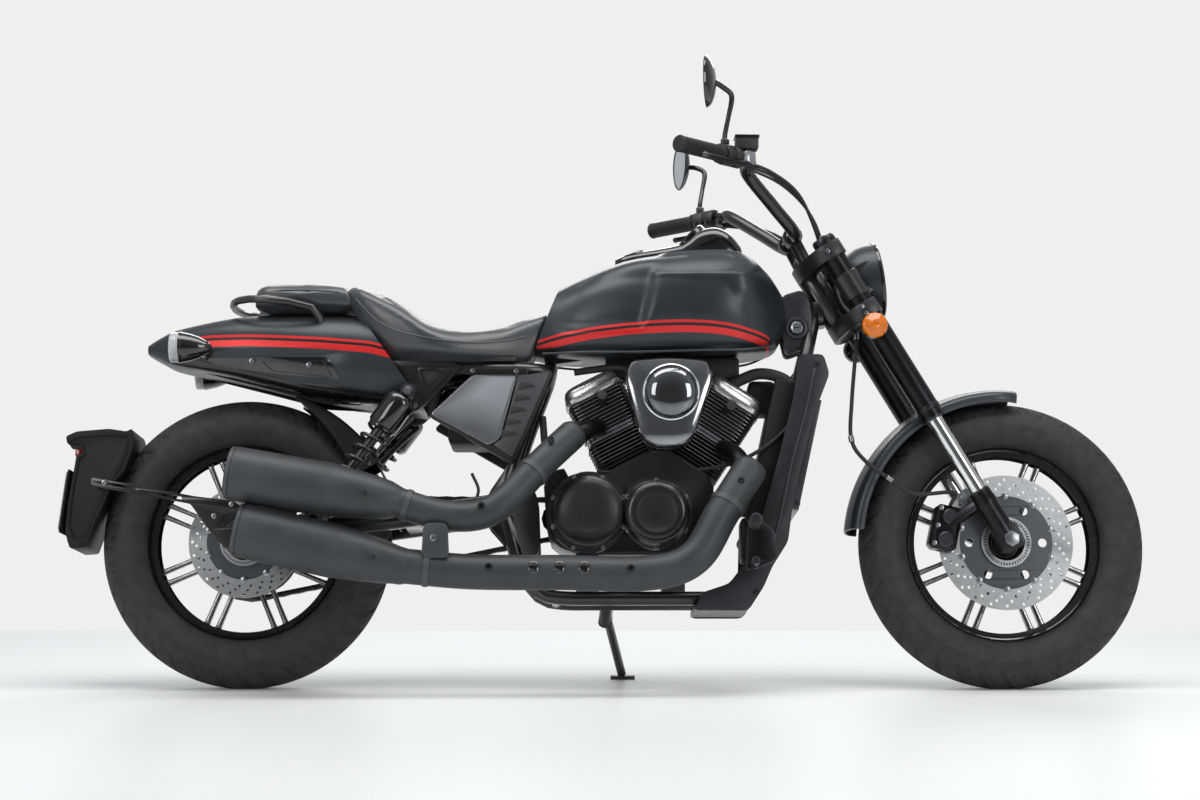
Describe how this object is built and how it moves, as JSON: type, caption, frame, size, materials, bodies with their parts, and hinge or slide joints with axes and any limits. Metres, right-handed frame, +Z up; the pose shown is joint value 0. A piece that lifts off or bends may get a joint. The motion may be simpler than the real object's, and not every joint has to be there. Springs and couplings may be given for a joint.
{
  "type": "cruiser motorcycle",
  "caption": "Low V-twin cruiser motorcycle leaning on its side stand, with forward foot controls, a long fork and stacked exhausts.",
  "frame": {"origin": "middle of the bounding box at floor level", "axes": "+X forward along the motorcycle, +Z up, +Y to its left"},
  "size_m": [2.4148, 0.8436, 1.3815],
  "materials": {
    "tyre": "matt",
    "wheel_black": "satin",
    "disc_steel": "brushed",
    "chain_steel": "oiled",
    "frame_black": "gloss",
    "fork_black": "satin",
    "control_black": "satin",
    "caliper_black": "satin",
    "hose_rubber": "matt",
    "charcoal_paint": "satin",
    "tail_plastic": "satin",
    "pod_black": "gloss",
    "lamp_glass": "clear",
    "amber_lens": "clear",
    "indicator_black": "gloss",
    "leather": "satin",
    "engine_black": "satin",
    "chrome": "polished",
    "exhaust_grey": "matt",
    "cover_grey": "satin",
    "radiator_black": "matt",
    "carrier_black": "satin",
    "shock_black": "gloss"
  },
  "bodies": {
    "chassis": {"rear_axle": "disc_steel", "chain": "chain_steel", "frame": "frame_black", "swingarm": "frame_black", "foot_control_left": "frame_black", "foot_control_right": "frame_black", "grab_rail": "frame_black", "rear_caliper": "caliper_black", "fuel_tank": "charcoal_paint", "tail_cowl": "tail_plastic", "instrument_pod": "pod_black", "rear_indicator_left": "indicator_black", "rear_indicator_right": "indicator_black", "rider_seat": "leather", "pillion_pad": "leather", "crankcase": "engine_black", "front_cylinder": "engine_black", "rear_cylinder": "engine_black", "air_cleaner": "chrome", "front_rocker_cover": "chrome", "rear_rocker_cover": "chrome", "exhaust_upper": "exhaust_grey", "exhaust_lower": "exhaust_grey", "side_cover_left": "cover_grey", "side_cover_right": "cover_grey", "radiator_cover": "cover_grey", "radiator": "radiator_black", "plate_carrier": "carrier_black", "shock_left": "shock_black", "shock_right": "shock_black"},
    "steering": {"fork_yokes": "fork_black", "handlebar": "fork_black", "fork_leg_left": "fork_black", "fork_leg_right": "fork_black", "control_left": "control_black", "control_right": "control_black", "mirror_left": "control_black", "mirror_right": "control_black", "headlamp_bowl": "charcoal_paint", "headlamp_lens": "lamp_glass", "front_fender": "charcoal_paint", "front_caliper": "caliper_black", "brake_hose": "hose_rubber", "front_axle": "disc_steel", "front_indicator_left": "amber_lens", "front_indicator_right": "amber_lens"},
    "front_wheel": {"front_tyre": "tyre", "front_rim": "wheel_black", "front_disc": "disc_steel"},
    "rear_wheel": {"rear_tyre": "tyre", "rear_rim": "wheel_black", "rear_disc": "disc_steel", "rear_sprocket": "chain_steel"},
    "side_stand": {"side_stand": "frame_black"}
  },
  "joints": [
    {"name": "steering_turn", "type": "hinge", "parent": "chassis", "child": "steering", "pos_m": [0.54037, -0.03999, 0.80204], "axis": [-0.5132, 0.1046, 0.8519], "range_deg": [-35.5, 28.5]},
    {"name": "front_wheel_spin", "type": "hinge", "parent": "steering", "child": "front_wheel", "pos_m": [0.88939, -0.09682, 0.31495], "axis": [-0.0525, 0.9869, -0.1527], "continuous": true},
    {"name": "rear_wheel_spin", "type": "hinge", "parent": "chassis", "child": "rear_wheel", "pos_m": [-0.79553, -0.09942, 0.31857], "axis": [-0.0001, 0.9925, -0.1219], "continuous": true},
    {"name": "side_stand_fold", "type": "hinge", "parent": "chassis", "child": "side_stand", "pos_m": [0.0064, 0.01672, 0.15636], "axis": [0.0865, 0.794, 0.6018], "range_deg": [0, 100]}
  ]
}
